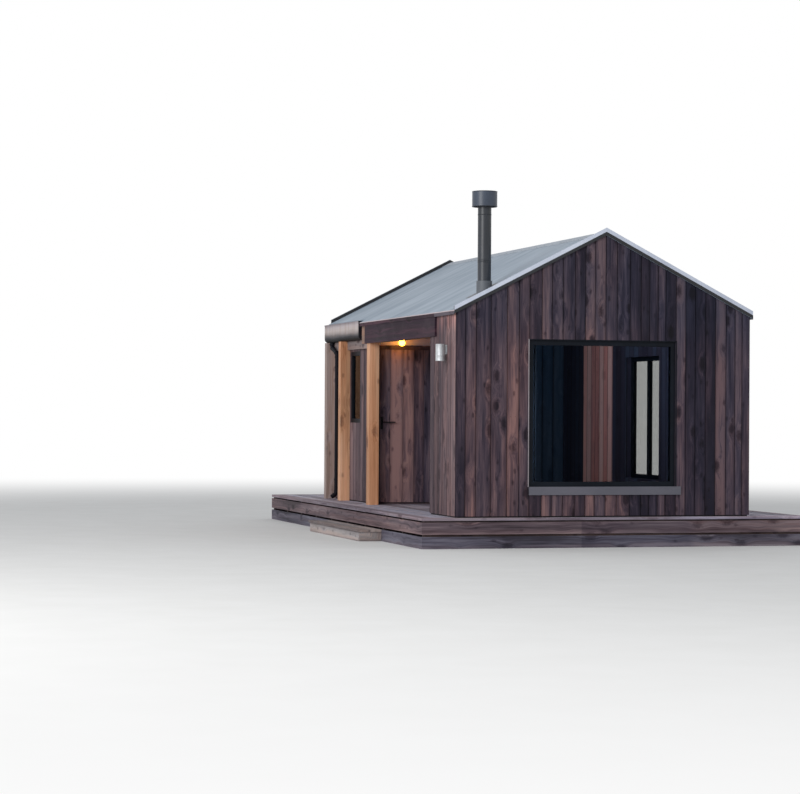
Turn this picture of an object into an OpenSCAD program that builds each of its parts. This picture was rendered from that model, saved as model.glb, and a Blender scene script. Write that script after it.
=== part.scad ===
// Timber hut on a raised deck: a boarded gable front with one picture window, and a porch let into
// the left side under the main roof, with a plank door at its end.
// The front gable faces -Y, the porch side faces -X, and Z = 0 is the ground the bearers lie on.

/* [Hut] */
// Width of the gable over the boards
hut_w = 3600; // [3300:10:4200]
// Length of the hut over the boards
hut_l = 6200; // [6000:10:7200]
// Pitch of the roof in degrees
pitch = 27; // [24:1:34]
// Thickness of the framed wall behind the boards
wall_t = 140; // [120:5:180]
// Thickness of the outside boards
board_t = 22; // [18:1:28]
// Gap between the deck and the foot of the outside boards
foot_gap = 15; // [10:5:60]
// Thickness of the floor laid inside
floor_t = 20; // [15:1:30]

/* [Roof] */
// Depth of the framed roof under the covering
roof_frame_t = 100; // [80:5:120]
// Thickness of the roof covering with its battens
cover_t = 36; // [25:1:45]
// How far the covering runs past the gable boards
verge_out = 18; // [16:1:60]
// Thickness of the sheet that closes the end of the covering and of the kerb
verge_t = 3; // [2:1:5]
// Height of the kerb that stands on the roof along the verge
kerb_h = 40; // [30:1:60]
// Thickness of the kerb
kerb_t = 20; // [12:1:30]
// Width of each wing of the ridge cap
ridge_wing = 130; // [90:5:180]
// Thickness of the ridge cap
ridge_t = 5; // [3:1:8]
// How far the covering drips past the side wall
drip_out = 30; // [28:1:60]

/* [Deck] */
// Height of the deck over the ground
deck_h = 350; // [300:5:400]
// Thickness of the deck boards
deck_t = 32; // [22:1:35]
// How far the deck runs past the porch side
deck_left = 400; // [300:10:900]
// How far the deck runs past the far side wall
deck_right = 700; // [300:10:1200]
// How far the deck runs past the rear gable
deck_back = 1500; // [600:10:2400]
// Gap between the deck boards and the upper edge board
nosing_gap = 18; // [8:1:30]
// Height of the upper board on the edge of the deck
edge_board_h = 138; // [100:1:150]
// Thickness of the boards on the edge of the deck
edge_board_t = 25; // [21:1:35]
// Gap between the two boards on the edge of the deck
edge_gap = 25; // [20:1:60]
// Width of a deck joist
joist_w = 50; // [45:1:75]
// Number of deck joists
joists = 10; // [8:1:14]
// Depth of the tread of the side step
step_w = 300; // [260:10:400]
// Distance from the front gable to the side step
step_y = 1700; // [1000:10:2000]
// Length of the side step
step_l = 2500; // [1500:10:3000]

/* [Porch] */
// Distance from the front gable to the porch
porch_y = 1040; // [900:10:1300]
// Length of the porch, up to the door wall
porch_l = 2900; // [2700:10:3000]
// Side of a square post
post_w = 130; // [120:5:150]
// Depth of the porch beam under the roof covering
beam_h = 250; // [200:5:280]
// Thickness of the porch beam
beam_t = 100; // [80:5:110]
// How far the porch beam runs past the near post
beam_tail = 260; // [200:10:280]
// Thickness of the fascia board on the porch beam
fascia_t = 25; // [18:1:30]
// How far the fascia laps over the wall before the porch
fascia_lap = 260; // [60:10:300]
// How far the fascia stops short of the end of the beam
fascia_short = 230; // [60:10:240]
// Distance from the middle post to the corner post
mid_post = 770; // [700:10:820]
// Height of the porch ceiling over the underside of the beam
ceiling_rise = 70; // [60:5:100]
// Height from the door frame up to the porch ceiling
over_door = 101; // [96:1:130]
// Thickness of the ceiling boards
ceiling_t = 15; // [12:1:22]
// Height of the pale board over the door
frieze_h = 90; // [60:5:95]
// Thickness of the pale board over the door
frieze_t = 18; // [12:1:25]

/* [Gutter] */
// Outside width of the gutter
gutter_w = 110; // [96:2:116]
// Height of the gutter over all
gutter_h = 245; // [200:5:260]
// How far the lip of the gutter lies under the edge of the covering
gutter_drop = 16; // [10:1:40]
// How far the roof covering runs out over the gutter
gutter_lap = 50; // [15:5:60]
// How far the rear kerb stops short of the edge of the covering
kerb_short = 30; // [0:5:60]
// Thickness of the gutter sheet
gutter_t = 3; // [2:1:5]
// Gap between the end of the porch beam and the gutter
gutter_gap = 170; // [60:10:200]
// Height of the rail under the gutter
rail_h = 115; // [60:5:120]
// Thickness of the rail under the gutter
rail_t = 40; // [30:1:60]
// Outside diameter of the downpipe
pipe_d = 56; // [50:1:64]
// Wall of the downpipe
pipe_t = 3; // [2:1:4]
// Distance from the gutter's outlet to the corner post
outlet_gap = 50; // [50:5:80]
// Sideways run of the swan neck
swan_run = 290; // [220:10:300]
// Bend radius of the downpipe on its centre line
bend_r = 60; // [50:5:70]
// Slant of the swan neck from upright, in degrees
swan_angle = 72; // [55:1:78]
// Distance of each pipe bracket from the end of the straight drop
bracket_drop = 150; // [80:10:300]
// Height of the downpipe's last bend over the deck
shoe_h = 110; // [90:5:160]

/* [Picture window] */
// Distance from the porch side to the window opening
win_x = 875; // [700:5:1000]
// Width of the window opening
win_w = 1795; // [1200:5:1900]
// Height of the glazed opening over the deck, at its lower edge
win_z = 350; // [300:5:900]
// Height of the glazed opening
win_h = 1677; // [1000:1:1680]
// Face width of the window frame
win_face = 55; // [40:1:80]
// Depth of the window frames
win_depth = 70; // [60:1:90]
// Thickness of the sealed glass
glass_t = 24; // [20:1:30]
// Height of the sill section
sill_h = 95; // [60:1:110]
// How far the sill stands out past the boards
sill_out = 15; // [5:1:16]
// How far the nosing of the sill runs past the right of the opening
sill_ear = 65; // [20:5:80]

/* [Far window] */
// Distance from the front gable to the window in the far side wall
far_win_y = 2440; // [1800:10:2600]
// Width of the far window
far_win_w = 1180; // [900:10:1600]
// Height of the far window over the deck, at its lower edge
far_win_z = 350; // [300:10:900]
// Height of the far window
far_win_h = 1580; // [900:10:1600]
// Width of the bar between its two panes
far_bar = 50; // [30:5:80]

/* [Side window] */
// Distance from the door wall to the side window
side_win_y = 820; // [400:10:820]
// Width of the side window
side_win_w = 520; // [400:10:530]
// Height of the side window over the deck, at its lower edge
side_win_z = 1050; // [900:10:1100]
// Height of the side window
side_win_h = 950; // [700:10:950]

/* [Door] */
// Width of the door leaf
door_w = 820; // [760:5:820]
// Height of the door leaf
door_h = 1975; // [1950:5:2025]
// Thickness of the door leaf
door_t = 45; // [38:1:55]
// Gap under the door leaf, over the floor
door_lift = 8; // [5:1:12]
// Width of the wall between the door frame and the side of the porch
door_side = 80; // [60:5:200]
// Face width of the door frame
door_face = 40; // [40:1:44]
// Depth of the stop behind the leaf
door_stop = 14; // [10:1:20]
// Gap round the door leaf
door_gap = 6; // [5:1:8]
// Height of the latch over the foot of the leaf
latch_h = 1035; // [900:5:1150]
// Length of the latch handle
latch_l = 190; // [150:5:200]
// Diameter of a hinge barrel
barrel_d = 14; // [12:1:15]
// Length of a hinge
hinge_l = 100; // [80:5:120]
// Distance from the top and the foot of the leaf to its outer hinges
hinge_in = 180; // [120:10:250]
// Width of a hinge flap
flap_w = 36; // [24:1:38]
// Thickness of a hinge flap
flap_t = 3; // [2:1:4]

/* [Flue and lamps] */
// Distance from the porch side to the flue
flue_x = 455; // [400:5:560]
// Distance from the front gable to the flue
flue_y = 400; // [360:5:600]
// Outside diameter of the flue
flue_d = 156; // [130:2:180]
// Wall of the flue
flue_t = 12; // [3:1:25]
// Height of the top of the cowl over the ridge
flue_rise = 460; // [400:1:700]
// How far the flue hangs under the roof inside
flue_drop = 120; // [60:10:300]
// Outside diameter of the cowl
cowl_d = 290; // [250:5:320]
// Height of the cowl
cowl_h = 180; // [150:1:220]
// Diameter of the wall lamp
lamp_d = 112; // [90:2:130]
// Height of the wall lamp
lamp_h = 195; // [160:5:220]
// Height of the foot of the wall lamp over the deck
lamp_z = 1785; // [1700:5:1900]
// Distance from the front gable to the wall lamp
lamp_y = 390; // [300:10:600]
// Distance from the porch side to the porch lamp
porch_lamp_x = 430; // [300:10:700]
// Distance from the door wall to the porch lamp
porch_lamp_y = 140; // [120:10:400]
// Diameter of the porch bulb
bulb_d = 80; // [60:1:90]

/* [Hidden] */
$fn = 48;

over = 1;                                  // how far a cutter runs past what it cuts
seat = 0.3;                                // a round piece lies this far off its seat
lap = 0.2;                                 // and a sloping face lies this far off the next one
tan_p = tan(pitch);
cos_p = cos(pitch);
ridge_x = hut_w / 2;
cover_v = cover_t / cos_p;                 // upright depth of the covering, and of the roof frame
frame_v = roof_frame_t / cos_p;
wall_in = board_t + wall_t;                // inner face of an outside wall

mid_x = (hut_w + deck_right - deck_left - step_w) / 2;
mid_y = (hut_l + deck_back - edge_board_t) / 2;

porch_end = porch_y + porch_l;
near_post_y = porch_end - post_w;
corner_post_y = hut_l - post_w;
mid_post_y = corner_post_y - mid_post;
set_back = post_w;                         // face of the boards behind the posts

// The door sets the height of the porch ceiling, of the beam and of the eaves, and the porch's depth
door_x = set_back + door_face + door_gap;
door_z = deck_h + floor_t + door_lift;
door_right = door_x + door_w + door_gap + door_face;
door_head = door_z + door_h + door_gap + door_face;
porch_d = door_right + door_side - board_t;
ceiling_z = door_head + over_door;
beam_z = ceiling_z - ceiling_rise;
eave_z = beam_z + beam_h + cover_v;

beam_end = porch_end + beam_tail;          // the roof edge steps back here, over the gutter
edge_x = gutter_w - gutter_lap;
gutter_top = roof_z(edge_x) - gutter_drop;
gutter_low = gutter_top - gutter_h;

// Height of the roof surface over the ground at x across the hut, then of the covering's
// underside and of the roof frame's underside
function roof_z(x) = eave_z + tan_p * min(x, hut_w - x);
function cover_z(x) = roof_z(x) - cover_v;
function frame_z(x) = cover_z(x) - frame_v;

// Moves the hut so that the middle of the whole object stands over the origin
module place() translate([-mid_x, -mid_y, 0]) children();

// A box from one corner to the other
module block(a, b) translate(a) cube([b[0] - a[0], b[1] - a[1], b[2] - a[2]]);

// A profile drawn in x and z, run along y from y0 to y1
module along_y(y0, y1) translate([0, y1, 0]) rotate([90, 0, 0]) linear_extrude(y1 - y0) children();

// A gable outline from z0 up to a line that lies drop under the roof surface
module gable_outline(x0, x1, z0, drop)
    polygon([[x0, z0], [x1, z0], [x1, roof_z(x1) - drop], [ridge_x, roof_z(ridge_x) - drop],
             [x0, roof_z(x0) - drop]]);

// A band that follows both slopes, between two depths under the roof surface
module roof_band(x0, x1, low, high)
    polygon([[x0, roof_z(x0) - low], [ridge_x, roof_z(ridge_x) - low], [x1, roof_z(x1) - low],
             [x1, roof_z(x1) - high], [ridge_x, roof_z(ridge_x) - high], [x0, roof_z(x0) - high]]);

// The same on one slope
module slope_band(x0, x1, low, high)
    polygon([[x0, roof_z(x0) - low], [x1, roof_z(x1) - low],
             [x1, roof_z(x1) - high], [x0, roof_z(x0) - high]]);

// A wall along y with its top cut to the slope
module sloped_wall(x0, x1, y0, y1, z0, drop)
    along_y(y0, y1)
        polygon([[x0, z0], [x1, z0], [x1, roof_z(x1) - drop], [x0, roof_z(x0) - drop]]);

// Deck: joists from side to side, two boards round the edge, boards on top and a long low step

module deck_joists() color("#5b4a3f") place() {
    run = hut_l + deck_back - edge_board_t - joist_w;
    for (i = [0 : joists - 1])
        translate([0, i * run / (joists - 1), 0])
            block([edge_board_t - deck_left, 0, 0],
                  [hut_w + deck_right - edge_board_t, joist_w, deck_h - deck_t]);
}

module deck_edge_boards() color("#4f3b33") place() {
    upper = deck_h - deck_t - nosing_gap - edge_board_h;
    for (span = [[0, upper - edge_gap], [upper, upper + edge_board_h]])
        difference() {
            block([-deck_left, -edge_board_t, span[0]],
                  [hut_w + deck_right, hut_l + deck_back, span[1]]);
            block([edge_board_t - deck_left, 0, -over],
                  [hut_w + deck_right - edge_board_t, hut_l + deck_back - edge_board_t, deck_h]);
        }
}

module deck_surface() color("#8b7d72") place()
    block([-deck_left, -edge_board_t, deck_h - deck_t], [hut_w + deck_right, hut_l + deck_back, deck_h]);

module side_step() color("#8f7c69") place() {
    outer = -deck_left - step_w;
    top = 0.4 * deck_h;
    riser = outer + 20;
    block([outer, step_y, top - deck_t], [-deck_left, step_y + step_l, top]);
    block([riser, step_y + 10, 0], [riser + edge_board_t, step_y + step_l - 10, top - deck_t]);
    for (y = [step_y + 10, step_y + step_l / 2, step_y + step_l - 10 - edge_board_t])
        block([riser + edge_board_t, y, 0], [-deck_left, y + edge_board_t, top - deck_t]);
}

module floor() color("#a58a6a") place() difference() {
    block([wall_in, wall_in, deck_h], [hut_w - wall_in, hut_l - wall_in, deck_h + floor_t]);
    block([0, porch_y - wall_in, 0], [porch_d + wall_in, porch_end + wall_in, deck_h + 2 * floor_t]);
    block([0, porch_end, 0], [set_back + wall_in, hut_l, deck_h + 2 * floor_t]);
}

// Walls: framed panels that stand on the deck and carry the roof frame
wall_drop = cover_v + frame_v + lap;       // top of a wall, and of the boards, under the roof surface
board_drop = cover_v + lap;

module window_hole()
    block([win_x, -over, deck_h + win_z - sill_h],
          [win_x + win_w, wall_in + over, deck_h + win_z + win_h]);

module side_window_hole()
    block([set_back - over, porch_end + side_win_y, deck_h + side_win_z],
          [set_back + wall_in + over, porch_end + side_win_y + side_win_w,
           deck_h + side_win_z + side_win_h]);

module far_window_hole()
    block([hut_w - wall_in - over, far_win_y, deck_h + far_win_z],
          [hut_w + over, far_win_y + far_win_w, deck_h + far_win_z + far_win_h]);

module front_wall() color("#6f6257") place() difference() {
    along_y(board_t, wall_in)
        gable_outline(board_t, hut_w - board_t, deck_h, wall_drop);
    window_hole();
}

module back_wall() color("#6f6257") place()
    along_y(hut_l - wall_in, hut_l - board_t)
        gable_outline(set_back + board_t, hut_w - board_t, deck_h, wall_drop);

module right_wall() color("#6f6257") place() difference() {
    sloped_wall(hut_w - wall_in, hut_w - board_t, wall_in, hut_l - wall_in, deck_h, wall_drop);
    far_window_hole();
}

module left_walls() color("#6f6257") place() {
    sloped_wall(board_t, wall_in, wall_in, porch_y - board_t, deck_h, wall_drop);
    difference() {
        sloped_wall(set_back + board_t, set_back + wall_in, porch_end + wall_in, hut_l - wall_in,
                    deck_h, wall_drop);
        side_window_hole();
    }
}

module porch_return_wall() color("#6f6257") place()
    sloped_wall(wall_in, porch_d + wall_in, porch_y - wall_in, porch_y - board_t, deck_h, wall_drop);

module porch_side_wall() color("#6f6257") place()
    sloped_wall(porch_d + board_t, porch_d + wall_in, porch_y - board_t, porch_end + wall_in,
                deck_h, wall_drop);

// The door wall is in two pieces, one beside the door frame and one over it
module door_side_wall() color("#6f6257") place()
    block([door_right, porch_end + board_t, deck_h],
          [porch_d + board_t, porch_end + wall_in, door_head]);

module door_lintel() color("#6f6257") place()
    sloped_wall(set_back + board_t, porch_d + board_t, porch_end + board_t, porch_end + wall_in,
                door_head, wall_drop);

// Boards outside the walls, each face as one skin

module front_cladding() color("#5a3d33") place() difference() {
    along_y(0, board_t) gable_outline(0, hut_w, deck_h + foot_gap, board_drop);
    window_hole();
}

module back_cladding() color("#5a3d33") place()
    along_y(hut_l - board_t, hut_l) gable_outline(set_back, hut_w, deck_h + foot_gap, board_drop);

module right_cladding() color("#5a3d33") place() difference() {
    sloped_wall(hut_w - board_t, hut_w, board_t, hut_l - board_t, deck_h + foot_gap, board_drop);
    far_window_hole();
}

module left_cladding() color("#5a3d33") place() {
    sloped_wall(0, board_t, board_t, porch_y, deck_h + foot_gap, board_drop);
    difference() {
        sloped_wall(set_back, set_back + board_t, porch_end + board_t, hut_l - board_t,
                    deck_h + foot_gap, wall_drop);
        side_window_hole();
        block([0, porch_end, 0], [door_right, porch_end + wall_in, door_head]);
    }
}

module porch_cladding() color("#5d4238") place() {
    foot = deck_h + foot_gap;
    block([board_t, porch_y - board_t, foot], [porch_d + board_t, porch_y, ceiling_z]);
    block([porch_d, porch_y, foot], [porch_d + board_t, porch_end, ceiling_z]);
    difference() {
        block([set_back, porch_end, foot], [porch_d + board_t, porch_end + board_t, ceiling_z]);
        block([0, porch_end - over, 0], [door_right, hut_l, door_head]);
    }
}

// Roof
flue_z = roof_z(ridge_x) + flue_rise;      // top of the cowl

module flue_hole(gap)
    translate([flue_x, flue_y, 0]) cylinder(d = flue_d + 2 * gap, h = flue_z);

module roof_frame_left() color("#7a6a5c") place() difference() {
    along_y(board_t, hut_l - board_t) slope_band(board_t, ridge_x, cover_v + frame_v, board_drop);
    block([0, beam_end, 0], [set_back, hut_l, roof_z(ridge_x)]);
    flue_hole(2);
}

module roof_frame_right() color("#7a6a5c") place()
    along_y(board_t, hut_l - board_t)
        slope_band(ridge_x, hut_w - board_t, cover_v + frame_v, board_drop);

module roof_cover_left() color("#5d6872") place() difference() {
    along_y(-verge_out, hut_l + verge_out) slope_band(-drip_out, ridge_x, cover_v, 0);
    block([-drip_out - over, beam_end, 0], [edge_x, hut_l + verge_out + over, roof_z(ridge_x)]);
    flue_hole(2);
}

module roof_cover_right() color("#5d6872") place()
    along_y(-verge_out, hut_l + verge_out) slope_band(ridge_x, hut_w + drip_out, cover_v, 0);

module ridge_cap() color("#4d565f") place() {
    wing = ridge_wing * cos_p;
    along_y(kerb_t - verge_out, hut_l + verge_out - kerb_t)
        roof_band(ridge_x - wing, ridge_x + wing, -lap, -ridge_t / cos_p);
}

// A kerb stands on the covering at each verge; a pale sheet closes its outer face, and a black one
// closes the end of the covering under it
module at_verges() {
    along_y(-verge_out - verge_t, -verge_out) children(0);
    along_y(hut_l + verge_out, hut_l + verge_out + verge_t) children(1);
}

module verge_kerbs() color("#1d1d1f") place() {
    along_y(-verge_out, kerb_t - verge_out)
        roof_band(-drip_out, hut_w + drip_out, -lap, -kerb_h / cos_p);
    along_y(hut_l + verge_out - kerb_t, hut_l + verge_out)
        roof_band(edge_x + kerb_short, hut_w + drip_out, -lap, -kerb_h / cos_p);
}

module verge_strips() color("#b9bcc0") place() at_verges() {
    roof_band(-drip_out, hut_w + drip_out, -lap, -(kerb_h + verge_t) / cos_p);
    roof_band(edge_x + kerb_short, hut_w + drip_out, -lap, -(kerb_h + verge_t) / cos_p);
}

module verge_trims() color("#1d1d1f") place() at_verges() {
    roof_band(-drip_out, hut_w + drip_out, cover_v, 0);
    roof_band(edge_x, hut_w + drip_out, cover_v, 0);
}

// Porch

module porch_posts() color("#b98a5c") place() {
    block([0, near_post_y, deck_h], [post_w, porch_end, beam_z]);
    for (y = [mid_post_y, corner_post_y])
        block([0, y, deck_h], [post_w, y + post_w, gutter_low - seat]);
}

module porch_beam() color("#4a352c") place()
    along_y(porch_y, beam_end)
        polygon([[0, beam_z], [beam_t, beam_z], [beam_t, frame_z(beam_t) - lap],
                 [board_t, frame_z(board_t) - lap], [board_t, cover_z(board_t) - lap],
                 [0, cover_z(0) - lap]]);

module porch_fascia() color("#4a352c") place()
    along_y(porch_y - fascia_lap, beam_end - fascia_short)
        polygon([[-fascia_t, beam_z], [0, beam_z], [0, cover_z(0) - lap],
                 [-fascia_t, cover_z(-fascia_t) - lap]]);

module porch_ceiling() color("#8d8078") place()
    block([beam_t, porch_y - board_t, ceiling_z],
          [porch_d + board_t, porch_end, ceiling_z + ceiling_t]);

module door_frieze() color("#b7aba0") place()
    block([set_back, porch_end - frieze_t, ceiling_z - frieze_h], [porch_d, porch_end, ceiling_z]);

// Gutter: a deep round-bottomed channel on the eaves board, over the two far posts

module gutter_profile(inset, lift) {
    r = gutter_w / 2;
    translate([r, gutter_low + r]) circle(r = r - inset);
    translate([inset, gutter_low + r]) square([gutter_w - 2 * inset, gutter_h - r + lift]);
}

module eaves_gutter() color("#cfc9c0") place() difference() {
    along_y(beam_end + gutter_gap, hut_l + verge_out) gutter_profile(0, 0);
    along_y(beam_end + gutter_gap + gutter_t, hut_l + verge_out - gutter_t)
        gutter_profile(gutter_t, over);
    along_y(beam_end, hut_l + 2 * verge_out)
        slope_band(edge_x - 6, gutter_w + over, cover_v + 2, 0);
    translate([pipe_x, outlet_y, gutter_low - over])
        cylinder(d = pipe_d + 2 * seat, h = gutter_h / 2);
}

module eaves_board() color("#6b5a4e") place()
    along_y(beam_end, hut_l)
        polygon([[gutter_w, gutter_low], [set_back, gutter_low], [set_back, cover_z(set_back) - lap],
                 [gutter_w, cover_z(gutter_w) - lap]]);

module eaves_rail() color("#9b928a") place()
    for (span = [[beam_end, mid_post_y], [mid_post_y + post_w, corner_post_y]])
        block([set_back - rail_t, span[0], gutter_low - rail_h], [set_back, span[1], gutter_low]);

// Downpipe: a spigot in the gutter, a swan neck, a straight drop held by two brackets, and a shoe
outlet_y = corner_post_y - outlet_gap;
pipe_x = gutter_w / 2;
spigot = 20;
socket_l = 30;
socket_t = 4;
band_h = 25;
swan_s = (swan_run - 2 * bend_r * (1 - cos(swan_angle))) / sin(swan_angle);
swan_drop = spigot + 2 * bend_r * sin(swan_angle) + swan_s * cos(swan_angle);
shoe_angle = 60;
shoe_l = 45;
pipe_drop = gutter_low - swan_drop - deck_h - shoe_h;

// A socket round the joint between two lengths of pipe
module pipe_socket() translate([0, 0, -socket_l / 2]) cylinder(d = pipe_d + 2 * socket_t, h = socket_l);

// A length that runs straight down from the origin, then the children at its foot
module pipe_down(length) {
    translate([0, 0, -length]) cylinder(d = pipe_d, h = length);
    translate([0, 0, -length]) children();
}

// A bend that starts straight down and turns towards -y by the angle a, then the children
module pipe_bend(a) {
    pipe_socket();
    translate([0, -bend_r, 0]) rotate([0, -90, 0]) rotate([0, 0, 90])
        rotate_extrude(angle = a) translate([bend_r, 0]) circle(d = pipe_d);
    translate([0, -bend_r * (1 - cos(a)), -bend_r * sin(a)]) rotate([-a, 0, 0]) {
        pipe_socket();
        children();
    }
}

module pipe_bracket(drop) translate([pipe_x, outlet_y - swan_run, gutter_low - swan_drop - drop]) {
    cylinder(d = pipe_d + 2 * socket_t, h = band_h);
    block([0, -band_h / 2, 0], [set_back - pipe_x, band_h / 2, band_h]);
}

module downpipe() color("#17181a") place() difference() {
    union() {
        translate([pipe_x, outlet_y, gutter_low + spigot])
            pipe_down(2 * spigot) pipe_bend(swan_angle) pipe_down(swan_s)
                mirror([0, 1, 0]) pipe_bend(swan_angle) pipe_down(pipe_drop)
                    rotate([0, 0, -90]) pipe_bend(shoe_angle) pipe_down(shoe_l);
        for (drop = [bracket_drop, pipe_drop - bracket_drop])
            pipe_bracket(drop);
    }
    translate([pipe_x, outlet_y, gutter_low]) cylinder(d = pipe_d - 2 * pipe_t, h = 2 * spigot);
}

// Windows

side_frame_x = set_back + 10;              // outer face of the side frame, inner face of the far one
far_frame_x = hut_w - 10 - win_depth;

// A frame in a side wall, and a pane in one, over an opening in y and z
module side_frame(x0, y0, w, z0, h) difference() {
    block([x0, y0, z0], [x0 + win_depth, y0 + w, z0 + h]);
    block([x0 - over, y0 + win_face, z0 + win_face],
          [x0 + win_depth + over, y0 + w - win_face, z0 + h - win_face]);
}

module side_pane(x0, y0, y1, z0, h)
    block([x0 + (win_depth - glass_t) / 2, y0, z0 + win_face],
          [x0 + (win_depth + glass_t) / 2, y1, z0 + h - win_face]);

module window_frames() color("#2b2c2e") place() {
    z0 = deck_h + win_z;
    z1 = z0 + win_h;
    difference() {
        block([win_x, board_t, z0], [win_x + win_w, board_t + win_depth, z1]);
        block([win_x + win_face, 0, z0 + win_face], [win_x + win_w - win_face, wall_in, z1 - win_face]);
    }
    side_frame(side_frame_x, porch_end + side_win_y, side_win_w, deck_h + side_win_z, side_win_h);
    side_frame(far_frame_x, far_win_y, far_win_w, deck_h + far_win_z, far_win_h);
    block([far_frame_x, far_win_y + (far_win_w - far_bar) / 2, deck_h + far_win_z + win_face],
          [far_frame_x + win_depth, far_win_y + (far_win_w + far_bar) / 2,
           deck_h + far_win_z + far_win_h - win_face]);
}

module window_glass() color("#9fb4bd") place() {
    block([win_x + win_face, board_t + (win_depth - glass_t) / 2, deck_h + win_z + win_face],
          [win_x + win_w - win_face, board_t + (win_depth + glass_t) / 2,
           deck_h + win_z + win_h - win_face]);
    side_pane(side_frame_x, porch_end + side_win_y + win_face,
              porch_end + side_win_y + side_win_w - win_face, deck_h + side_win_z, side_win_h);
    for (y = [far_win_y + win_face, far_win_y + (far_win_w + far_bar) / 2])
        side_pane(far_frame_x, y, y + (far_win_w - far_bar) / 2 - win_face,
                  deck_h + far_win_z, far_win_h);
}

module window_sill() color("#6d7680") place() {
    low = deck_h + win_z - sill_h;
    block([win_x, 0, low], [win_x + win_w, wall_in, deck_h + win_z]);
    block([win_x, -sill_out, low], [win_x + win_w + sill_ear, 0, deck_h + win_z]);
}

// Door: the leaf opens out into the porch on three face hinges
leaf_y = porch_end + flap_t;               // outer face of the leaf and of its frame
hinge_x = door_x + door_w + door_gap / 2;
hinge_y = leaf_y - barrel_d / 2;
hinge_zs = [door_z + hinge_in, door_z + (door_h - hinge_l) / 2, door_z + door_h - hinge_in - hinge_l];
knuckle = hinge_l / 3;
knuckle_gap = 1;

module door_frame() color("#4a342b") place() difference() {
    block([set_back, leaf_y, deck_h], [door_right, porch_end + wall_in, door_head]);
    block([door_x - door_gap, leaf_y - over, deck_h + floor_t],
          [door_x + door_w + door_gap, leaf_y + door_t + door_gap, door_head - door_face]);
    block([door_x - door_gap + door_stop, leaf_y, deck_h + floor_t],
          [door_x + door_w + door_gap - door_stop, hut_l, door_head - door_face - door_stop]);
}

module door_leaf() color("#5f4338") place()
    block([door_x, leaf_y, door_z], [door_x + door_w, leaf_y + door_t, door_z + door_h]);

// Lever on a tall plate, drawn on the leaf's outer face
module door_latch() color("#1c1c1e") place() translate([door_x + 28, leaf_y, door_z + latch_h]) {
    block([-16, -6, -90], [16, 0, 70]);
    translate([0, -6, 0]) rotate([90, 0, 0]) cylinder(d = 24, h = 34);
    translate([0, -40, 0]) rotate([0, 90, 0]) cylinder(d = 16, h = latch_l - 20);
    translate([0, -40, 0]) sphere(d = 24);
    translate([latch_l - 20, -40, 0]) sphere(d = 16);
    translate([0, -6, -58]) rotate([90, 0, 0]) cylinder(d = 20, h = 5);
}

// Two knuckles and a flap on the frame, one knuckle and a flap on the leaf
module frame_hinges() color("#1c1c1e") place() for (z = hinge_zs) {
    difference() {
        translate([hinge_x, hinge_y, z]) cylinder(d = barrel_d, h = hinge_l);
        translate([hinge_x, hinge_y, z + knuckle])
            cylinder(d = barrel_d + 2 * over, h = knuckle);
    }
    for (s = [0, 2 * knuckle])
        block([hinge_x + 1, leaf_y - flap_t, z + s], [hinge_x + flap_w, leaf_y, z + s + knuckle]);
    block([hinge_x + barrel_d, leaf_y - flap_t, z], [hinge_x + flap_w, leaf_y, z + hinge_l]);
}

module leaf_hinges() color("#1c1c1e") place() for (z = hinge_zs) {
    z0 = z + knuckle + knuckle_gap;
    h = knuckle - 2 * knuckle_gap;
    translate([hinge_x, hinge_y, z0]) cylinder(d = barrel_d, h = h);
    block([hinge_x - flap_w, leaf_y - flap_t, z0], [hinge_x - 1, leaf_y, z0 + h]);
    block([hinge_x - flap_w, leaf_y - flap_t, z], [hinge_x - barrel_d, leaf_y, z + hinge_l]);
}

// Flue

cowl_low = flue_z - cowl_h;
flue_foot = frame_z(flue_x) - flue_drop;

module flue_pipe() color("#1b1c1e") place() translate([flue_x, flue_y, flue_foot]) difference() {
    cylinder(d = flue_d, h = cowl_low + cowl_h / 2 - flue_foot);
    translate([0, 0, -over]) cylinder(d = flue_d - 2 * flue_t, h = flue_z);
}

cowl_t = 4;

// A drum open below, held round the top of the flue by three straps
module flue_cowl() color("#1b1c1e") place() translate([flue_x, flue_y, cowl_low]) {
    difference() {
        cylinder(d = cowl_d, h = cowl_h);
        translate([0, 0, -over]) cylinder(d = cowl_d - 2 * cowl_t, h = cowl_h - cowl_t + over);
    }
    for (a = [30, 150, 270])
        rotate([0, 0, a])
            block([flue_d / 2 + seat, -cowl_t / 2, 15], [(cowl_d - cowl_t) / 2, cowl_t / 2, 45]);
}

flashing_t = 4;
flashing_r = flue_d / 2 + 92;              // half the side of the plate
collar_h = 110;                            // height of the collar over the roof at the flue

// A square plate on the slope and an upright collar, which starts inside the plate
module flue_flashing() color("#3a3d40") place() difference() {
    union() {
        along_y(flue_y - flashing_r, flue_y + flashing_r)
            slope_band(flue_x - flashing_r, flue_x + flashing_r, -lap, -flashing_t);
        difference() {
            translate([flue_x, flue_y, roof_z(0)])
                cylinder(d = flue_d + 26, h = roof_z(flue_x) + collar_h - roof_z(0));
            along_y(0, 2 * flue_y)
                polygon([[0, 0], [ridge_x, 0], [ridge_x, roof_z(ridge_x) + flashing_t / 2],
                         [0, roof_z(0) + flashing_t / 2]]);
        }
    }
    flue_hole(seat);
}

// Lamps

module wall_lamp() color("#b9bdbf") place() {
    translate([-lamp_d / 2 - 14, lamp_y, deck_h + lamp_z]) difference() {
        cylinder(d = lamp_d, h = lamp_h);
        translate([0, 0, -over]) cylinder(d = lamp_d - 6, h = lamp_h / 3);
    }
    block([-18, lamp_y - 20, deck_h + lamp_z + lamp_h / 2],
          [0, lamp_y + 20, deck_h + lamp_z + lamp_h - 30]);
}

holder_h = 22;
lamp_foot = ceiling_z - holder_h;

module porch_lamp() color("#1d1d1f") place()
    translate([porch_lamp_x, porch_end - porch_lamp_y, lamp_foot])
        cylinder(d = 54, h = holder_h);

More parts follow.
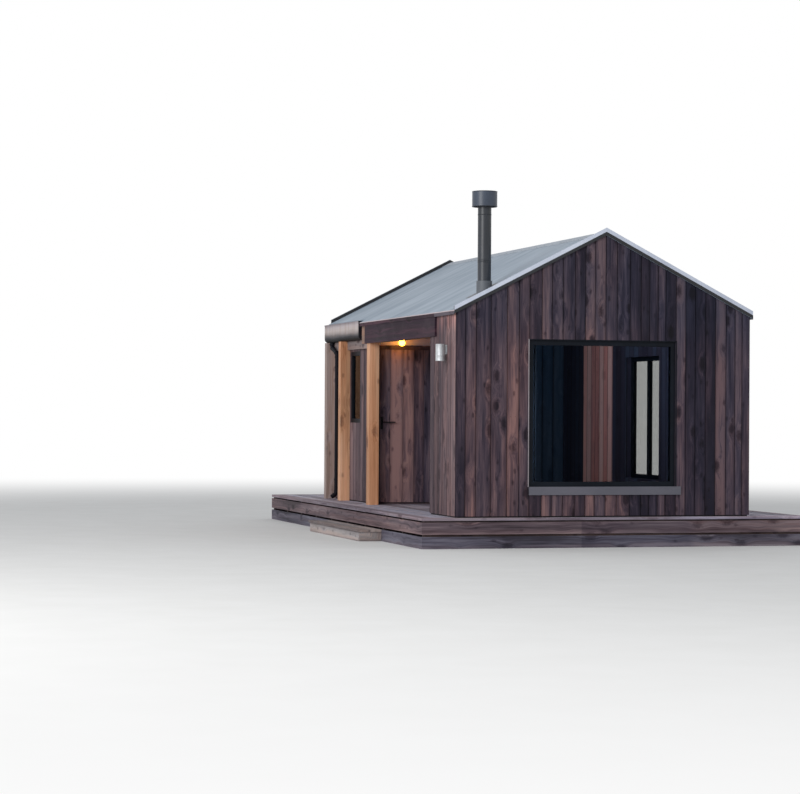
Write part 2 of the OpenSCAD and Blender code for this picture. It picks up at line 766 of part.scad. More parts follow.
module porch_bulb() color("#ffd08a") place()
    translate([porch_lamp_x, porch_end - porch_lamp_y, lamp_foot - bulb_d / 2 - seat]) sphere(d = bulb_d);

deck_joists();
deck_edge_boards();
deck_surface();
side_step();
floor();
front_wall();
back_wall();
right_wall();
left_walls();
porch_return_wall();
porch_side_wall();
door_side_wall();
door_lintel();
front_cladding();
back_cladding();
right_cladding();
left_cladding();
porch_cladding();
roof_frame_left();
roof_frame_right();
roof_cover_left();
roof_cover_right();
ridge_cap();
verge_kerbs();
verge_strips();
verge_trims();
porch_posts();
porch_beam();
porch_fascia();
porch_ceiling();
door_frieze();
eaves_board();
eaves_rail();
eaves_gutter();
downpipe();
window_frames();
window_glass();
window_sill();
door_frame();
door_leaf();
door_latch();
frame_hinges();
leaf_hinges();
flue_pipe();
flue_cowl();
flue_flashing();
wall_lamp();
porch_lamp();
porch_bulb();
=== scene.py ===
import math
import random

import bmesh
import bpy
from mathutils import Matrix, Vector


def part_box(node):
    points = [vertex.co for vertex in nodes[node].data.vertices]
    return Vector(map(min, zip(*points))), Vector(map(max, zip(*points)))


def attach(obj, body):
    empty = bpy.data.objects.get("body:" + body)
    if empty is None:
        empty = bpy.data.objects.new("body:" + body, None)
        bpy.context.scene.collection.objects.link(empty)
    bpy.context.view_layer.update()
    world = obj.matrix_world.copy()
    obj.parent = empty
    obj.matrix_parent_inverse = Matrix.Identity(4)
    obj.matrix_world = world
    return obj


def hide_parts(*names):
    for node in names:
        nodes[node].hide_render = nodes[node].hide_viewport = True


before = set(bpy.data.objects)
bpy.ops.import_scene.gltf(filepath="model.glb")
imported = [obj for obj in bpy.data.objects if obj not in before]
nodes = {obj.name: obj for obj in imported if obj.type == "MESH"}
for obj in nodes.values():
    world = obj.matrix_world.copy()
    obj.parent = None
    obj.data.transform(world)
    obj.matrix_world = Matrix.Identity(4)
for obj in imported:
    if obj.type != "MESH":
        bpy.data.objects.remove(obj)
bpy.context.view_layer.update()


# Where the hut is seen from: a long lens from far out on the left, a little over the height of the
# deck, so the gable shows its whole width and the porch side is seen at a flat slant.
turn, lift, tilt = (math.radians(a) for a in (15.671, 0.359, -0.346))
ahead = Vector((math.sin(turn) * math.cos(lift), math.cos(turn) * math.cos(lift), math.sin(lift)))
level = Vector((math.cos(turn), -math.sin(turn), 0))
over = level.cross(ahead)
right = level * math.cos(tilt) - over * math.sin(tilt)
up = level * math.sin(tilt) + over * math.cos(tilt)
camera = bpy.data.objects.new("camera", bpy.data.cameras.new("camera"))
bpy.context.collection.objects.link(camera)
camera.matrix_world = Matrix((right, up, -ahead)).transposed().to_4x4()
camera.location = (-9.7512, -29.8329, 1.5455)
camera.data.lens = 108
camera.data.sensor_width = 36
camera.data.clip_end = 500
bpy.context.scene.camera = camera


# What it stands on and is lit by: a wide pale floor that fades into a white surround, an even sky,
# one large soft lamp on the porch side, and a small unseen one for the bay inside the room.
class Wire:
    """One output of a material's nodes. A sum written with it adds its Math nodes."""

    def __init__(self, tree, socket=None):
        self.tree, self.socket = tree, socket

    def node(self, kind, settings=None, sockets=None, out=0):
        """Adds a node, sets its settings and sockets, and gives one of its outputs."""
        made = self.tree.nodes.new(kind)
        for key, value in (settings or {}).items():
            setattr(made, key, value)
        for key, value in (sockets or {}).items():
            if isinstance(value, Wire):
                self.tree.links.new(value.socket, made.inputs[key])
            else:
                made.inputs[key].default_value = value
        return Wire(self.tree, made.outputs[out] if made.outputs else None)

    def sum(self, how, *terms):
        return self.node("ShaderNodeMath", {"operation": how}, dict(enumerate(terms)))

    def __add__(self, other):
        return self.sum("ADD", self, other)

    def __sub__(self, other):
        return self.sum("SUBTRACT", self, other)

    def __rsub__(self, other):
        return self.sum("SUBTRACT", other, self)

    def __mul__(self, other):
        return self.sum("MULTIPLY", self, other)

    def __truediv__(self, other):
        return self.sum("DIVIDE", self, other)

    __radd__ = __add__

    def between(self, low, high):
        """0 under low, 1 over high, and a smooth step from one to the other."""
        return self.node("ShaderNodeMapRange", {"interpolation_type": "SMOOTHSTEP"},
                         {"Value": self, "From Min": low, "From Max": high})

    def blend(self, first, second, how="MIX"):
        """The colour that goes from first to second as this wire goes from 0 to 1."""
        return self.node("ShaderNodeMix", {"data_type": "RGBA", "blend_type": how},
                         {0: self, 6: first, 7: second}, out=2)

    def ramp(self, stops):
        """The colour that goes through these places and colours as this wire goes from 0 to 1."""
        made = self.node("ShaderNodeValToRGB", {}, {"Fac": self}, out="Color")
        ends = made.socket.node.color_ramp.elements
        ends[0].position, ends[0].color = stops[0]
        ends[1].position, ends[1].color = stops[-1]
        for where, colour in stops[1:-1]:
            ends.new(where).color = colour
        return made

    def axis(self, k):
        """The x, y or z of this place."""
        return self.node("ShaderNodeSeparateXYZ", {}, {0: self}, out=k)

    def scaled(self, by):
        return self.node("ShaderNodeVectorMath", {"operation": "MULTIPLY"}, {0: self, 1: by})

    def moved(self, by):
        return self.node("ShaderNodeVectorMath", {"operation": "ADD"}, {0: self, 1: by})

    def noise(self, scale, detail=3.0, rough=0.6):
        return self.node("ShaderNodeTexNoise", {},
                         {"Vector": self, "Scale": scale, "Detail": detail, "Roughness": rough})


def new_finish(name):
    """An empty material, and a wire with the place on the object to start from."""
    made = bpy.data.materials.new(name)
    made.use_nodes = True
    made.node_tree.nodes.clear()
    return made, Wire(made.node_tree).node("ShaderNodeTexCoord", out="Object")


def paint(r, g, b):
    """A colour as a screen shows it, as the renderer wants it."""
    return tuple(c / 3294.6 if c < 11 else ((c / 255 + 0.055) / 1.055) ** 2.4 for c in (r, g, b)) + (1.0,)


def coat(place, height, relief, reach, **sockets):
    """Closes a material: its surface, with the height as a bump, and the output."""
    sockets = {key.replace("_", " "): value for key, value in sockets.items()}
    bump = {"Height": height, "Strength": relief, "Distance": reach}
    sockets["Normal"] = place.node("ShaderNodeBump", {}, bump)
    shader = place.node("ShaderNodeBsdfPrincipled", {}, sockets)
    place.node("ShaderNodeOutputMaterial", {}, {"Surface": shader})


def looked_at(wire):
    """1 for what the camera, a reflection or a pane shows, and 0 for light that only bounces."""
    seen = wire.node("ShaderNodeLightPath", out="Is Camera Ray")
    for kind in ("Is Glossy Ray", "Is Transmission Ray"):
        seen = seen.sum("MAXIMUM", seen, wire.node("ShaderNodeLightPath", out=kind))
    return seen


floor_finish, place = new_finish("pale studio floor")
fade_start, fade_end = 9.0, 26.0
distance = place.node("ShaderNodeVectorMath", {"operation": "LENGTH"}, {0: place}, out="Value")
faded = distance.between(fade_start, fade_end) * looked_at(place)
mottle = place.noise(1.7).blend(paint(212, 211, 208), paint(222, 221, 219))
matt = place.node("ShaderNodeBsdfDiffuse", {}, {"Color": mottle})
white = place.node("ShaderNodeEmission", {}, {"Color": (1, 1, 1, 1), "Strength": 1.0})
mixed = place.node("ShaderNodeMixShader", {}, {0: faded, 1: matt, 2: white})
place.node("ShaderNodeOutputMaterial", {}, {"Surface": mixed})

bm = bmesh.new()
bmesh.ops.create_circle(bm, cap_ends=True, segments=64, radius=150)
floor_mesh = bpy.data.meshes.new("floor")
bm.to_mesh(floor_mesh)
bm.free()
floor_mesh.materials.append(floor_finish)
ground = bpy.data.objects.new("studio_floor", floor_mesh)
bpy.context.collection.objects.link(ground)

world = bpy.data.worlds.new("even sky")
world.use_nodes = True
world.node_tree.nodes.clear()
sky = Wire(world.node_tree)
tint = looked_at(sky).blend((0.64, 0.66, 0.69, 1), (1, 1, 1, 1))
backdrop = sky.node("ShaderNodeBackground", {}, {"Color": tint, "Strength": 1.0})
sky.node("ShaderNodeOutputWorld", {}, {"Surface": backdrop})
bpy.context.scene.world = world


def round_lamp(name, size, energy, spot, target):
    """A round lamp that faces a target."""
    lamp = bpy.data.lights.new(name.replace("_", " "), "AREA")
    lamp.shape = "DISK"
    lamp.size = size
    lamp.energy = energy
    made = bpy.data.objects.new(name, lamp)
    bpy.context.collection.objects.link(made)
    made.location = spot
    made.rotation_mode = "QUATERNION"
    made.rotation_quaternion = (Vector(target) - made.location).to_track_quat("-Z", "Y")
    return made


round_lamp("soft_lamp", 9, 2300, (-17.5, -14.5, 8.0), (0, 0, 1.2))
room_lamp = round_lamp("room_lamp", 0.8, 26, (-0.25, -1.75, 2.5), (1.63, 0.9, 1.5))
room_lamp.visible_camera = room_lamp.visible_glossy = room_lamp.visible_transmission = False
bpy.context.scene.view_settings.view_transform = "Standard"


# Frame of the deck: rough joists from side to side, and two weathered boards screwed one over the
# other to their ends all the way round, with a gap between them.
left_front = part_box("front_cladding")[0]
origin = Vector((left_front.x, left_front.y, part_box("deck_surface")[1].z))


def hut_box(node):
    """A node's corners, measured from the left, the front and the deck of the hut."""
    return [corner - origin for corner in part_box(node)]


def timber(name, tones, grain, boards=None, knots=0.7, rough=0.72, relief=0.35, greyed=0.3,
           grey=(96, 88, 90), figured=1.1, spread=0.9, hues=0.3, edges=0.4, fades=()):
    """Sawn timber. The grain says how fast the figure changes along each axis, in turns a metre.
    boards is a direction and a width where the boards are drawn, "one" where the node is one board
    deep, and None where each board is a solid that keeps its own number.
    Each fade is an axis, two places on it and the tint that the timber takes on between them."""
    made, place = new_finish(name)
    if boards is None:
        tone = place.node("ShaderNodeAttribute", {"attribute_name": "board"}, out="Fac")
        inside = place.node("ShaderNodeAttribute", {"attribute_name": "across"}, out="Fac")
        joint = tone * 0
    elif boards == "one":
        tone = place.noise(0.5, 0.0)
        inside = tone * 0 + 0.5
        joint = tone * 0
    else:
        direction, width = boards
        well_left = 60  # metres, so that no board has a number under 0
        across = place.node("ShaderNodeVectorMath", {"operation": "DOT_PRODUCT"},
                            {0: place, 1: direction}, out="Value")
        across = (across + well_left) / width
        inside = across.sum("FRACT", across)
        tone = place.node("ShaderNodeTexWhiteNoise", {"noise_dimensions": "1D"},
                          {"W": across - inside}, out="Value")
        joint = place.sum("ABSOLUTE", inside - 0.5).between(0.455, 0.485)

    jumps = (0, 0, 0) if boards == "one" else (31, 17, 43)
    shift = place.node("ShaderNodeCombineXYZ", {}, {k: tone * jump for k, jump in enumerate(jumps)})
    spot = place.moved(shift)
    slow = 6  # turns a metre, and fewer along the boards than this
    crosswise = [1.0 if turns > slow else 0.0 for turns in grain]
    drawn_out = spot.scaled([0.5 + 0.5 * c for c in crosswise])
    large, small = (place.node("ShaderNodeTexVoronoi", {}, {"Vector": drawn_out, "Scale": scale},
                               out="Distance") for scale in (5.0, 9.0))
    ragged = (spot.noise(38, 1.0) - 0.5) * 0.14
    knot = 1 - (large + ragged).between(0.11, 0.28)
    knot = knot.sum("MAXIMUM", knot, 0.75 - (small + ragged).between(0.06, 0.22) * 0.75)
    bend = (1 - large.between(0.05, 0.5)) * 0.9
    swirl = place.node("ShaderNodeCombineXYZ", {}, {k: bend * c for k, c in enumerate(crosswise)})

    along = place.scaled(grain).moved(shift).moved(swirl)
    streak = along.noise(1.0, 4.0, 0.58)
    fine = along.scaled((4, 4, 4)).noise(1.0, 2.0, 0.7)
    broad = along.scaled((0.22, 0.22, 0.45)).noise(1.0, 2.0, 0.5)
    weather = spot.noise(2.6, 3.0, 0.55)
    mixed = (streak - 0.5) * figured + (tone - 0.5) * spread
    mixed = mixed + (fine - 0.5) * 0.35 + (broad - 0.5) * 0.7 + 0.5
    last = len(tones) - 1
    colour = mixed.ramp([(0.05 + 0.9 * i / last, paint(*t)) for i, t in enumerate(tones)])
    cool, warm = colour.scaled((0.88, 0.93, 1.14)), colour.scaled((1.34, 0.98, 0.90))
    colour = (broad.between(0.38, 0.62) * hues).blend(cool, warm)
    colour = (weather.between(0.42, 0.75) * greyed).blend(colour, paint(*grey))
    for axis, start, end, tint in fades:
        colour = place.axis(axis).between(start, end).blend(colour, colour.scaled(tint))
    # Each board darkens towards its long edges: partly wear, partly painted shade where boards meet.
    edge_wear_and_shade = place.sum("ABSOLUTE", inside - 0.5).between(0.24, 0.5) * edges
    colour = edge_wear_and_shade.blend(colour, colour.scaled((0.25, 0.24, 0.30)))
    colour = (knot * knots).blend(colour, colour.scaled((0.2, 0.17, 0.22)))
    colour = (joint * 0.85).blend(colour, paint(18, 14, 14))
    coat(place, fine * 0.5 + streak - joint * 2.0, relief, 0.004, Base_Color=colour,
         Roughness=rough + (streak - 0.5) * 0.2, Specular_IOR_Level=0.18)
    return made


def dress(finish, *names):
    """Gives CAD nodes their finish."""
    for name in names:
        nodes[name].data.materials.clear()
        nodes[name].data.materials.append(finish)


dress(timber("rough joist timber", [(38, 32, 30), (72, 60, 54), (98, 84, 74)], (2, 40, 40), "one"),
      "deck_joists")
edge_split = 0.150  # height of the gap between the two boards, over the ground
lower_tint, butt_tint, pale_tint = (0.80, 1.0, 1.15), (0.70, 0.70, 0.75), (1.45, 1.42, 1.3)
dress(timber("weathered edge boards", [(62, 50, 50), (96, 80, 79), (124, 106, 101), (148, 130, 122)],
             (0.7, 0.7, 24), "one", grey=(92, 84, 88), relief=0.12, figured=1.8, edges=0.0,
             fades=[(2, edge_split + 0.004, edge_split - 0.004, lower_tint),
                    (0, origin.x + 1.50, origin.x + 1.52, butt_tint),
                    (0, origin.x + 2.8, origin.x + 3.0, pale_tint)]), "deck_edge_boards")


# Deck boards: planed boards laid front to back with a gap for the rain, each butted once along its
# run and held by two screws at every joist, inside a border of four boards mitred at the corners.
def solids():
    """An empty mesh whose solids each keep one random number, and how far across they are at each
    point, which the finishes read."""
    bm = bmesh.new()
    bm.verts.layers.float.new("board")
    bm.verts.layers.float.new("across")
    return bm


def loft(bm, rings, tone=None, across=None):
    """A closed solid through equal rings of points."""
    layer, width = bm.verts.layers.float["board"], bm.verts.layers.float["across"]
    tone = random.random() if tone is None else tone
    made = [[bm.verts.new(p) for p in ring] for ring in rings]
    for ring in made:
        for i, vert in enumerate(ring):
            vert[layer] = tone
            vert[width] = across[i] if across else 0.5
    for a, b in zip(made, made[1:]):
        for i in range(len(a)):
            j = (i + 1) % len(a)
            bm.faces.new((a[i], a[j], b[j], b[i]))
    bm.faces.new(made[0][::-1])
    bm.faces.new(made[-1])


def plank(bm, low, high, along, edge=0.003, tone=None):
    """A bar between two corners with its long edges taken off, running along one axis."""
    a, b = (k for k in range(3) if k != along)
    (a0, a1), (b0, b1) = (low[a], high[a]), (low[b], high[b])
    outline = [(a0 + edge, b0), (a1 - edge, b0), (a1, b0 + edge), (a1, b1 - edge),
               (a1 - edge, b1), (a0 + edge, b1), (a0, b1 - edge), (a0, b0 + edge)]
    rings = []
    for end in (low[along], high[along]):
        rings.append([])
        for p, q in outline:
            spot = [0, 0, 0]
            spot[a], spot[b], spot[along] = p, q, end
            rings[-1].append(spot)
    wide = a1 - a0 > b1 - b0
    loft(bm, rings, tone, [(p - a0) / (a1 - a0) if wide else (q - b0) / (b1 - b0) for p, q in outline])


def piece(name, bm, finish, slot, *replaced, body="hut", smooth=False):
    """Puts a mesh, measured from the hut's corner, into the scene as a piece of the object."""
    bmesh.ops.remove_doubles(bm, verts=bm.verts, dist=0.00001)
    bmesh.ops.recalc_face_normals(bm, faces=bm.faces)
    bmesh.ops.translate(bm, verts=bm.verts, vec=origin)
    mesh = bpy.data.meshes.new(name)
    bm.to_mesh(mesh)
    bm.free()
    if smooth:
        mesh.shade_smooth()
        mesh.set_sharp_from_angle(angle=math.radians(35))
    return enter(name, mesh, finish, replaced, body)


def enter(name, mesh, finish, replaced=(), body="hut"):
    """Puts a mesh that is already in place into the scene as a piece of the object."""
    if finish:
        mesh.materials.clear()
        mesh.materials.append(finish)
    made = bpy.data.objects.new(name, mesh)
    bpy.context.collection.objects.link(made)
    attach(made, body)
    if replaced:
        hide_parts(*replaced)
    return made


def tree_of(name, sockets):
    """A Geometry Nodes tree, a wire to add nodes with, and its inputs: a geometry and these."""
    tree = bpy.data.node_groups.new(name, "GeometryNodeTree")
    tree.interface.new_socket("Geometry", in_out="INPUT", socket_type="NodeSocketGeometry")
    tree.interface.new_socket("Geometry", in_out="OUTPUT", socket_type="NodeSocketGeometry")
    for key, kind in sockets.items():
        tree.interface.new_socket(key, in_out="INPUT", socket_type=kind)
    start = Wire(tree)
    asked = start.node("NodeGroupInput").socket.node
    return tree, start, {s.name: Wire(tree, s) for s in asked.outputs}


def end_tree(start, geometry, finish):
    """Gives the geometry its finish and sends it out of the tree."""
    done = start.node("GeometryNodeSetMaterial", {}, {"Geometry": geometry, "Material": finish})
    start.node("NodeGroupOutput", {}, {0: done})


def made_by(tree, mesh, values):
    """The plain mesh that a tree makes from a mesh with these values."""
    made = bpy.data.objects.new("pattern", mesh)
    bpy.context.collection.objects.link(made)
    modifier = made.modifiers.new("row", "NODES")
    modifier.node_group = tree
    for item in tree.interface.items_tree:
        if item.in_out == "INPUT" and item.name in values:
            modifier[item.identifier] = values[item.name]
    deps = bpy.context.evaluated_depsgraph_get()
    result = bpy.data.meshes.new_from_object(made.evaluated_get(deps))
    made.modifiers.clear()
    bpy.data.objects.remove(made)
    return result


row_tree, row, given = tree_of("row of boards", {
    "Count": "NodeSocketInt", "Step": "NodeSocketVector", "Seed": "NodeSocketInt",
    "Finish": "NodeSocketMaterial"})
line = row.node("GeometryNodeMeshLine", {"mode": "OFFSET"},
                {"Count": given["Count"], "Offset": given["Step"]})
copies = row.node("GeometryNodeInstanceOnPoints", {}, {"Points": line, "Instance": given["Geometry"]})
solid = row.node("GeometryNodeRealizeInstances", {}, {"Geometry": copies})
island = row.node("GeometryNodeInputMeshIsland", out="Island Index")
chance = row.node("FunctionNodeRandomValue", {"data_type": "FLOAT"},
                  {"ID": island, "Seed": given["Seed"]}, out=1)
toned = row.node("GeometryNodeStoreNamedAttribute", {"data_type": "FLOAT", "domain": "POINT"},
                 {"Geometry": solid, "Name": "board", "Value": chance})
end_tree(row, toned, given["Finish"])


def board_row(name, bm, count, step, seed, finish, slot, *replaced):
    """Repeats the boards in bm along a line, each with its own tone."""
    bmesh.ops.recalc_face_normals(bm, faces=bm.faces)
    bmesh.ops.translate(bm, verts=bm.verts, vec=origin)
    mesh = bpy.data.meshes.new(name)
    bm.to_mesh(mesh)
    bm.free()
    mesh.attributes.remove(mesh.attributes["board"])
    made = made_by(row_tree, mesh, {"Count": count, "Step": step, "Seed": seed, "Finish": finish})
    return enter(name, made, None, replaced)


head_tree, head, given = tree_of("heads", {
    "Radius": "NodeSocketFloat", "Height": "NodeSocketFloat", "Facing": "NodeSocketVector",
    "Finish": "NodeSocketMaterial"})
disc = head.node("GeometryNodeMeshCylinder", {"fill_type": "NGON"},
                 {"Vertices": 8, "Radius": given["Radius"], "Depth": given["Height"]}, out="Mesh")
upright = head.node("FunctionNodeEulerToRotation", {}, {0: given["Facing"]})
copies = head.node("GeometryNodeInstanceOnPoints", {},
                   {"Points": given["Geometry"], "Instance": disc, "Rotation": upright})
solid = head.node("GeometryNodeRealizeInstances", {}, {"Geometry": copies})
end_tree(head, solid, given["Finish"])


def heads(name, spots, facing, radius, height, finish, slot):
    """Screw or nail heads at these spots, half sunk and facing this way."""
    mesh = bpy.data.meshes.new(name)
    mesh.from_pydata([Vector(s) + origin for s in spots], [], [])
    turned = {"x": (0, math.pi / 2, 0), "y": (math.pi / 2, 0, 0), "z": (0, 0, 0)}[facing]
    made = made_by(head_tree, mesh, {"Radius": radius, "Height": height, "Facing": turned,
                                     "Finish": finish})
    return enter(name, made, None)


random.seed(7)
deck_low, deck_high = hut_box("deck_surface")
rim, gap = 0.145, 0.006
deck_boards = 30
deck_pitch = (deck_high.x - deck_low.x - 2 * rim) / deck_boards
bm = solids()
for k, butts in enumerate(((2.62, 5.31), (1.4, 4.05, 6.3))):
    ends = (deck_low.y + rim + gap, *butts, deck_high.y - rim - gap)
    for start, end in zip(ends, ends[1:]):
        x = deck_low.x + rim + k * deck_pitch + gap / 2
        plank(bm, (x, start + 0.001, deck_low.z), (x + deck_pitch - gap, end - 0.001, deck_high.z), 1, 0.004)
deck_finish = timber("weathered deck boards",
                     [(110, 100, 100), (140, 132, 132), (160, 154, 155), (178, 172, 172)],
                     (30, 1.3, 30), greyed=0.4, grey=(146, 144, 150), relief=0.15, figured=1.4, knots=0.4,
                     fades=[(0, origin.x + 3.5, origin.x + 3.8, (1.3, 1.36, 1.42))])
board_row("deck_planks", bm, deck_boards // 2, (2 * deck_pitch, 0, 0), 3, deck_finish,
          "deck_boards", "deck_surface")


def mitred(bm, a, b, into):
    """A border board along the deck's edge from corner a to corner b, its ends cut to the corners."""
    run = (b - a).normalized()
    slit = run * 0.0015
    rings = []
    for corner, side in ((a + slit, 1), (b - slit, -1)):
        inner = corner + (Vector(into) + run * side) * rim
        rings.append([spot + Vector((0, 0, z)) for spot, z in (
            (corner, deck_low.z), (corner, deck_high.z), (inner, deck_high.z), (inner, deck_low.z))])
    loft(bm, rings)


west, east = Vector((deck_low.x, 0, 0)), Vector((deck_high.x, 0, 0))
south, north = Vector((0, deck_low.y, 0)), Vector((0, deck_high.y, 0))
for name, letter, sides, grain, fade in (
        ("border_boards_front", "x",
         ((west + south, east + south, (0, 1, 0)), (west + north, east + north, (0, -1, 0))),
         (1.1, 34, 34), (0, 0.6, 1.1, (1.45, 1.55, 1.62))),
        ("border_boards_side", "y",
         ((west + south, west + north, (1, 0, 0)), (east + south, east + north, (-1, 0, 0))),
         (34, 1.1, 34), (0, 1.9, 2.1, (1.3, 1.36, 1.42)))):
    bm = solids()
    for a, b, into in sides:
        mitred(bm, a, b, into)
    finish = timber("border boards " + letter,
                    [(92, 78, 80), (118, 104, 104), (142, 130, 130), (164, 152, 152)],
                    grain, greyed=0.4, grey=(138, 132, 136), relief=0.15, figured=1.5, knots=0.4,
                    fades=[fade])
    piece(name, bm, finish, "deck_boards")


def speckled(name, scale, dark, pale, relief, rough, varied, **sockets):
    """A small piece of one colour, with fine spots of another on it."""
    made, place = new_finish(name)
    spots = place.noise(scale)
    coat(place, spots, relief, 0.001, Base_Color=spots.blend(paint(*dark), paint(*pale)),
         Roughness=rough + spots * varied, **sockets)
    return made


steel = speckled("weathered screw steel", 90, (70, 66, 66), (120, 116, 112), 0.2, 0.35, 0.3, Metallic=0.8)
screw = (0.0042, 0.0012)
joists = 10
joist_pitch = (deck_high.y - 0.075) / (joists - 1)
heads("deck_screws",
      [(deck_low.x + rim + (i + side) * deck_pitch, 0.025 + j * joist_pitch, deck_high.z)
       for i in range(deck_boards) for j in range(1, joists) for side in (0.24, 0.76)],
      "z", *screw, steel, "deck_boards")


# Side step: two tread boards on three brackets, with a riser board under their outer edge, made up
# on the ground and pushed against the deck.
step_low, step_high = hut_box("side_step")
tread_z = step_high.z - 0.028
riser_x, bracket_x = step_low.x + 0.02, step_low.x + 0.045
middle = (step_low.x + step_high.x) / 2
step_l = step_high.y - step_low.y
bm = solids()
for x0, x1 in ((step_low.x, middle - 0.003), (middle + 0.003, step_high.x)):
    plank(bm, (x0, step_low.y, tread_z), (x1, step_high.y, step_high.z), 1, 0.004)
plank(bm, (riser_x, step_low.y + 0.01, step_low.z), (bracket_x, step_high.y - 0.01, tread_z), 1)
for share in (0.004, 0.5, 0.986):
    y = step_low.y + share * step_l
    plank(bm, (bracket_x, y, step_low.z), (step_high.x, y + 0.025, tread_z), 0)
step_finish = timber("pale step boards", [(122, 110, 100), (152, 142, 130), (180, 170, 156)],
                     (22, 1.3, 22), grey=(154, 147, 138), relief=0.15, figured=1.4)
piece("side_step_boards", bm, step_finish, "step_boards", "side_step")
heads("step_screws",
      [(x, step_low.y + share * step_l, step_high.z)
       for x in (step_low.x + 0.05, step_low.x + 0.11, middle + 0.04, middle + 0.1)
       for share in (0.01, 0.505, 0.99)], "z", *screw, steel, "step_boards")


# Floor and walls inside: floorboards laid front to back, and upright matchboards on framed panels
# that stand on the deck, dark blue at both ends and dark on the far side but for one bay: painted
# shade inside the room, with painted window light on that bay.
dress(timber("floorboards", [(116, 88, 62), (150, 120, 88), (172, 142, 108)], (30, 0.9, 30),
             ((1, 0, 0), 0.12), rough=0.5, greyed=0.1), "floor")
matchboards = {"grain": (12, 12, 0.5), "boards": ((1, 1, 0), 0.16), "rough": 0.6, "greyed": 0.1,
               "knots": 0.3}
dress(timber("inner matchboards", [(74, 60, 56), (98, 82, 76), (120, 102, 94)], grey=(90, 78, 74),
             **matchboards), "left_walls", "door_side_wall", "door_lintel")
# Painted shade: the ends and the porch walls are dark blue for the unlit inside of the room.
dress(timber("end boards dark blue with painted room shade", [(33, 51, 66), (47, 66, 82), (64, 82, 96)], grey=(53, 71, 87),
             **matchboards), "back_wall", "front_wall", "porch_return_wall", "porch_side_wall")
# The far side: painted window light on one bay, dimmed to painted shade on either side of it.
bay_low, bay_high, dim = origin.y + 4.12, origin.y + 5.2, (0.054, 0.112, 0.19)
dress(timber("inner matchboards with painted window light on one bay",
             [(176, 124, 118), (214, 162, 152), (236, 196, 180)], grey=(200, 160, 150), edges=0.2,
             fades=[(1, bay_high, bay_high + 0.04, dim), (1, bay_low, bay_low - 0.04, dim)],
             **matchboards), "right_wall")


# Outside boards: upright sawn boards of mixed widths, stained dark brown and weathered, each lapped
# over the tongue of the next and cut to the slope of the roof and round the windows.
board_t = 0.022
hut_w = hut_box("front_cladding")[1].x
hut_l = hut_box("back_cladding")[1].y
set_back = 0.13
ridge_z = hut_box("roof_cover_left")[1].z
roof_pitch = math.radians(27)
slope = math.tan(roof_pitch)
cover_v = 0.036 / math.cos(roof_pitch)
foot = hut_box("front_cladding")[0].z
porch_low, porch_high = hut_box("porch_cladding")
frame_high = hut_box("door_frame")[1]
sill_low, sill_high = hut_box("window_sill")
win_left = sill_low.x
win_right = sill_high.x - 0.065
win_top = 0.35 + 1.677


def roof_at(x):
    """Height of the roof surface over the deck."""
    return ridge_z - slope * abs(x - hut_w / 2)


def joints(*fixed, width=0.13, spread=0.12):
    """Places of the joints between boards, through these fixed ones."""
    made = [fixed[0]]
    for a, b in zip(fixed, fixed[1:]):
        count = max(1, round((b - a) / width))
        marks = [a + (b - a) * (i + random.uniform(-spread, spread)) / count for i in range(1, count)]
        made += marks + [b]
    return made


def clad(bm, marks, run, face, out, high, low=foot, holes=(), tones=()):
    """Boards on one wall between the marks, along axis run, with their faces at face."""
    nook, lap, edge = 0.009, 0.009, 0.003
    for i, (a, b) in enumerate(zip(marks, marks[1:])):
        outline = [(a, 0), (b, 0), (b, board_t - edge), (b - edge, board_t), (a + nook + edge, board_t),
                   (a + nook, board_t - edge), (a + nook, lap), (a, lap)]
        tone = tones[i] if i < len(tones) and tones[i] is not None else random.random()
        spans = [(low, None)]
        for u0, u1, z0, z1 in holes:
            if a > u0 - 0.002 and b < u1 + 0.002:
                spans = [(low, z0), (z1, None)] if z0 > low else [(z1, None)]
        for z0, z1 in spans:
            rings = []
            for ring in range(2):
                rings.append([])
                for u, d in outline:
                    side = face - out * (board_t - d)
                    z = (z0, high(u) if z1 is None else z1)[ring]
                    rings[-1].append((u, side, z) if run == 0 else (side, u, z))
            loft(bm, rings, tone, [(u - a) / (b - a) for u, d in outline])


upright = (16, 16, 0.9)
# Darker and cooler towards the right; the top of the gable is darkened as painted tree shadow.
front_finish = timber("dark stained boards", [(37, 30, 38), (63, 51, 56), (94, 76, 76), (130, 103, 95)],
                      upright, knots=0.9, greyed=0.25, grey=(76, 66, 74), figured=1.6, spread=0.8, hues=0.4,
                      fades=[(0, origin.x + 1.0, origin.x + 3.0, (0.61, 0.70, 0.83)),
                             (2, 2.1, 2.7, (0.66, 0.78, 0.89))])
side_finish = timber("paler stained boards", [(58, 46, 48), (88, 71, 70), (116, 95, 90), (144, 119, 110)],
                     upright, knots=0.6, greyed=0.2, grey=(100, 88, 88), figured=1.4, spread=0.8, edges=0.3,
                     fades=[(2, 2.42, 2.66, (1.8, 1.55, 1.45))])
sheltered_finish = timber("sheltered boards", [(44, 36, 42), (76, 61, 64), (110, 88, 85), (146, 118, 108)],
                          upright, greyed=0.1, figured=1.5)


def gable_top(x):
    """Top of the boards, just under the covering of the roof."""
    return roof_at(x) - cover_v - 0.001


def porch_top(along):
    """Top of the boards inside the porch."""
    return porch_high.z


random.seed(21)
marks = joints(0, 0.109, 0.234, 0.412, 0.606, 0.748, win_left, 1.024, 1.145, 1.278, 1.424, 1.552, 1.668,
               hut_w / 2, 1.938, 2.098, 2.234, 2.34, 2.444, 2.54, win_right, 2.79, 2.91, 3.04, 3.165,
               3.297, 3.411, 3.5, hut_w, spread=0)
bm = solids()
clad(bm, marks, 0, 0, -1, gable_top, holes=[(win_left, win_right, sill_low.z, win_top)],
     tones=[0.25, 0.62, 0.5, 0.55, 0.68, 0.48])
piece("front_boards", bm, front_finish, "outside_boards", "front_cladding")

bm = solids()
clad(bm, joints(set_back, hut_w / 2, hut_w), 0, hut_l, 1, gable_top)
piece("back_boards", bm, front_finish, "outside_boards", "back_cladding")

